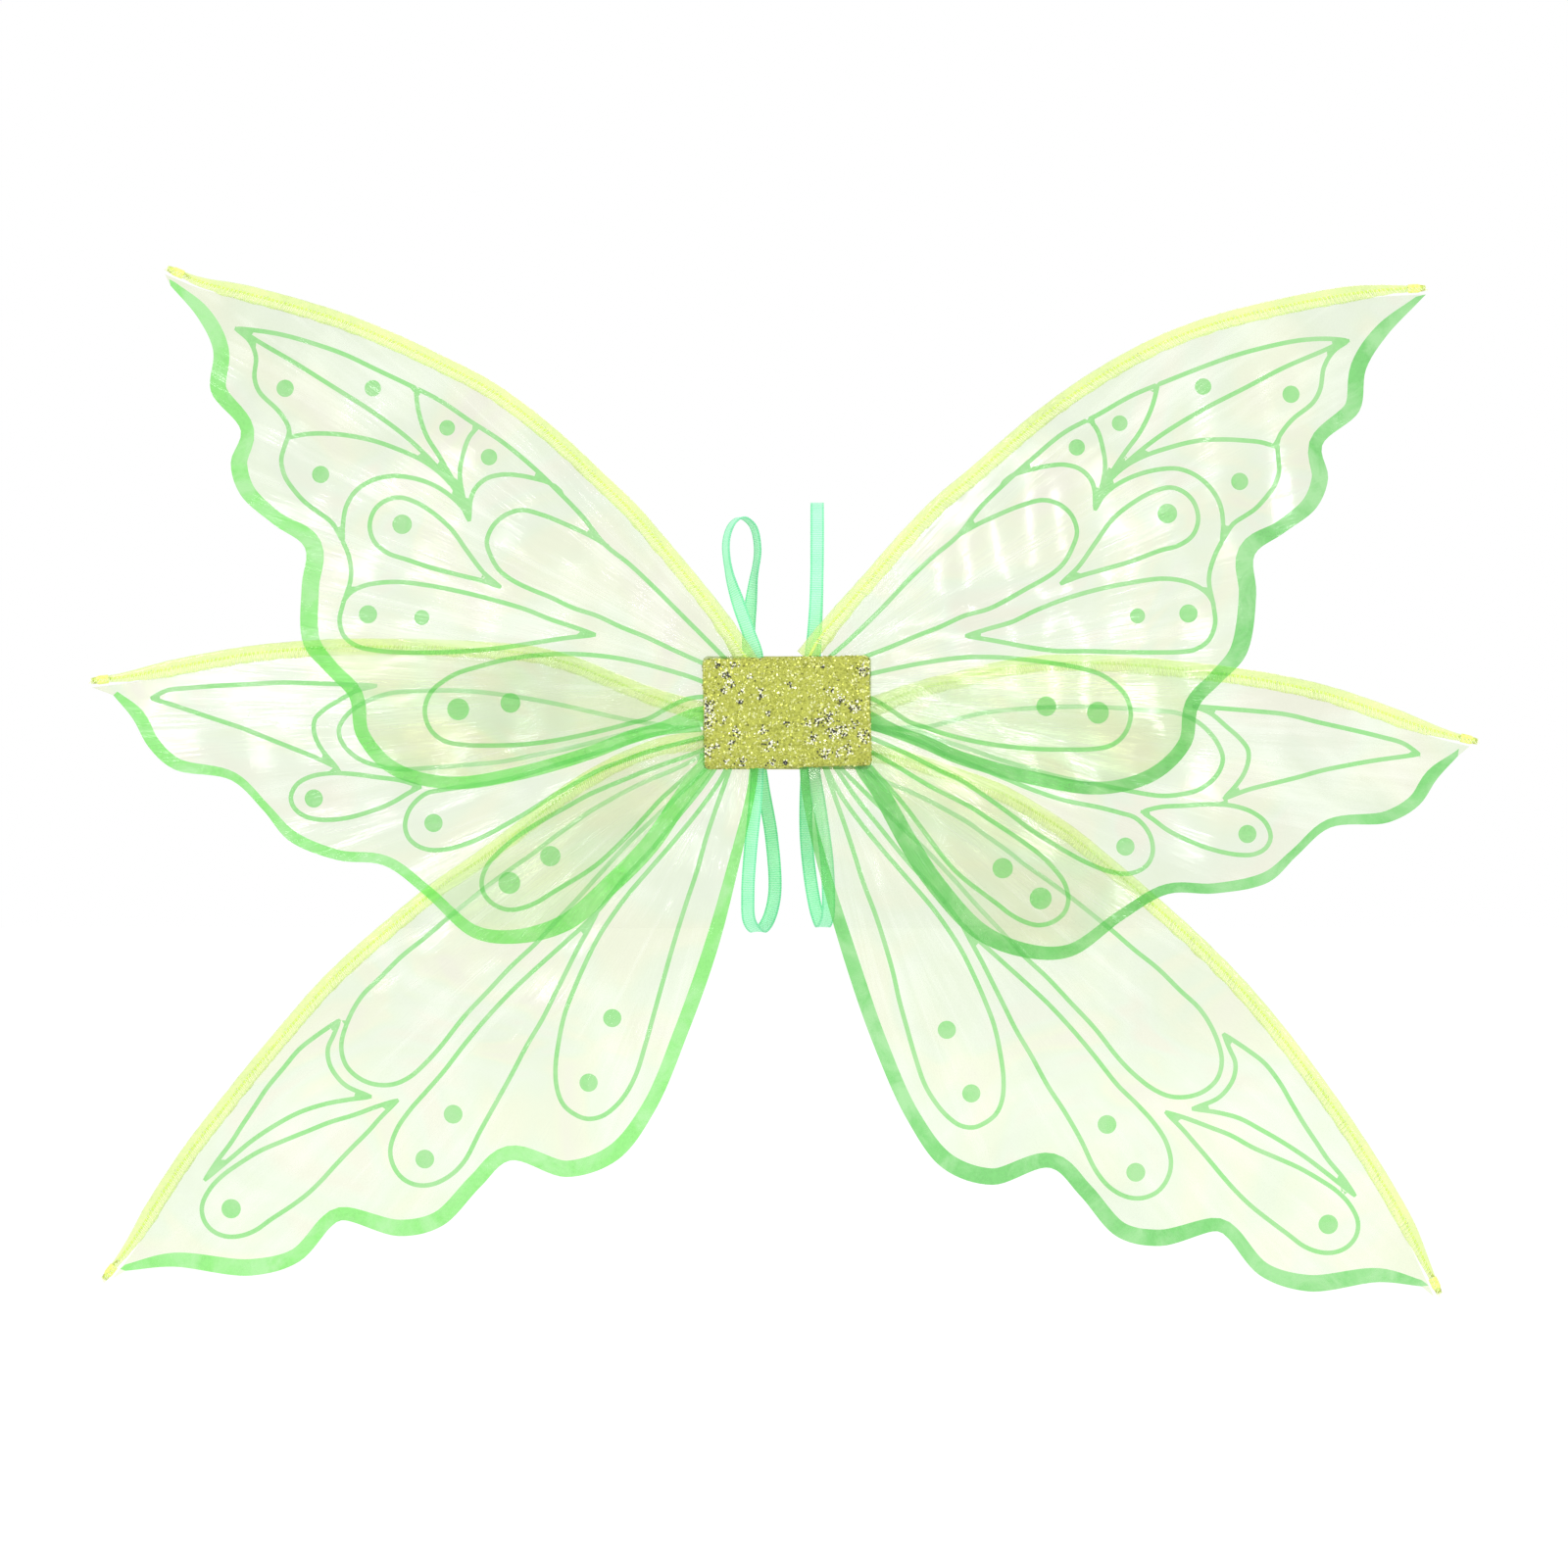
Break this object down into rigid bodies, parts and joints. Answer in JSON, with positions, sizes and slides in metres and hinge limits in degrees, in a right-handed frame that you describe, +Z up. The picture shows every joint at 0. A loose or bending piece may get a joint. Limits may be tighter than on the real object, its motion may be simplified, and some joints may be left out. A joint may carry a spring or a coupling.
{
  "type": "fairy wings",
  "caption": "Costume wings: wired iridescent film wings with printed veins, in pairs on a padded glitter plate with elastic arm loops.",
  "frame": {"origin": "centre of the back panel's rear face, where the wings lie on the wearer's back", "axes": "+Z up as worn, +Y towards the wearer, +X to the viewer's right when looking at the glitter side"},
  "size_m": [0.8785, 0.0745, 0.6519],
  "materials": {
    "felt": "felt",
    "board": "card",
    "foam": "foam",
    "glitter": "glitter",
    "elastic": "ribbed elastic",
    "wire": "drawn wire",
    "sleeve": "sheer organza",
    "film": "iridescent film",
    "tape": "wrapped tape"
  },
  "bodies": {
    "hub": {"back_panel": "felt", "film_root_lower_left": "film", "film_root_lower_right": "film", "film_root_middle_left": "film", "film_root_middle_right": "film", "film_root_upper_left": "film", "film_root_upper_right": "film", "foam_pad": "foam", "glitter_cover": "glitter", "sleeve_root_lower_left": "sleeve", "sleeve_root_lower_right": "sleeve", "sleeve_root_upper_left": "sleeve", "sleeve_root_upper_right": "sleeve", "stiffener_board": "board", "strap_left": "elastic", "strap_right": "elastic", "wire_binding": "tape", "wire_root_lower_left": "wire", "wire_root_lower_right": "wire", "wire_root_middle_left": "wire", "wire_root_middle_right": "wire", "wire_root_upper_left": "wire", "wire_root_upper_right": "wire"},
    "wing_upper_left": {"film_upper_left": "film", "sleeve_upper_left": "sleeve", "tip_wrap_upper_left": "tape", "wire_upper_left": "wire"},
    "wing_upper_right": {"film_upper_right": "film", "sleeve_upper_right": "sleeve", "tip_wrap_upper_right": "tape", "wire_upper_right": "wire"},
    "wing_middle_left": {"film_middle_left": "film", "sleeve_middle_left": "sleeve", "tip_wrap_middle_left": "tape", "wire_middle_left": "wire"},
    "wing_middle_right": {"film_middle_right": "film", "sleeve_middle_right": "sleeve", "tip_wrap_middle_right": "tape", "wire_middle_right": "wire"},
    "wing_lower_left": {"film_lower_left": "film", "sleeve_lower_left": "sleeve", "tip_wrap_lower_left": "tape", "wire_lower_left": "wire"},
    "wing_lower_right": {"film_lower_right": "film", "sleeve_lower_right": "sleeve", "tip_wrap_lower_right": "tape", "wire_lower_right": "wire"}
  },
  "joints": [
    {"name": "fold_upper_left", "type": "hinge", "parent": "hub", "child": "wing_upper_left", "pos_m": [-0.057, -0.0175, 0], "axis": [0, 0, 1], "range_deg": [0, 60]},
    {"name": "fold_middle_left", "type": "hinge", "parent": "hub", "child": "wing_middle_left", "pos_m": [-0.057, -0.0175, 0], "axis": [0, 0, 1], "range_deg": [0, 48]},
    {"name": "fold_lower_left", "type": "hinge", "parent": "hub", "child": "wing_lower_left", "pos_m": [-0.0645, -0.0085, -0.04], "axis": [-0.866, 0, 0.5], "range_deg": [0, 15]},
    {"name": "fold_upper_right", "type": "hinge", "parent": "hub", "child": "wing_upper_right", "pos_m": [0.057, -0.0175, 0], "axis": [0, 0, -1], "range_deg": [0, 60]},
    {"name": "fold_middle_right", "type": "hinge", "parent": "hub", "child": "wing_middle_right", "pos_m": [0.057, -0.0175, 0], "axis": [0, 0, -1], "range_deg": [0, 48]},
    {"name": "fold_lower_right", "type": "hinge", "parent": "hub", "child": "wing_lower_right", "pos_m": [0.0645, -0.0085, -0.04], "axis": [-0.866, 0, -0.5], "range_deg": [0, 15]}
  ],
  "couplings": [
    {"joint": "fold_middle_left", "follows": "fold_upper_left", "ratio": 0.8},
    {"joint": "fold_lower_left", "follows": "fold_upper_left", "ratio": 0.25},
    {"joint": "fold_middle_right", "follows": "fold_upper_right", "ratio": 0.8},
    {"joint": "fold_lower_right", "follows": "fold_upper_right", "ratio": 0.25}
  ]
}
